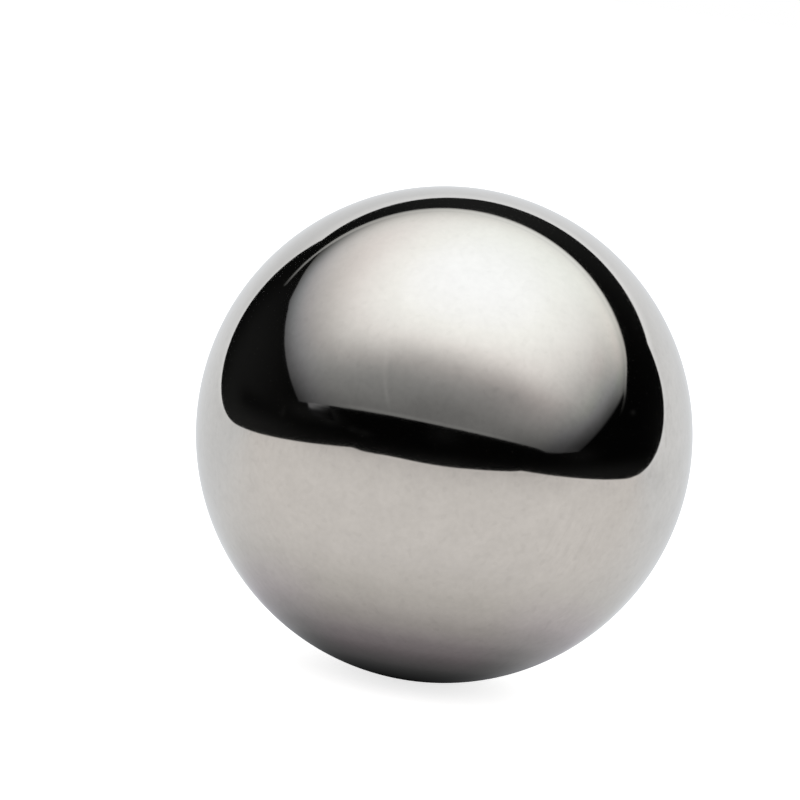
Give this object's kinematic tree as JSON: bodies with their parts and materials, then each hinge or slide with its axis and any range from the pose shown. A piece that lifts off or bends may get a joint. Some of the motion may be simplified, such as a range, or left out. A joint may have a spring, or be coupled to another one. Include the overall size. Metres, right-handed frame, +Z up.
{
  "type": "steel ball",
  "caption": "Solid steel ball with a mirror-polished surface, to roll in a race or on a bench, or to seat in a cup or socket.",
  "frame": {"origin": "centre of the ball", "axes": "+Z up, from the seat at the ball's lowest point to its top; every axis through the centre is an axis of symmetry"},
  "size_m": [0.0254, 0.0254, 0.0254],
  "materials": {
    "polished_steel": "polished"
  },
  "bodies": {
    "root": {"ball": "polished_steel"}
  },
  "joints": []
}
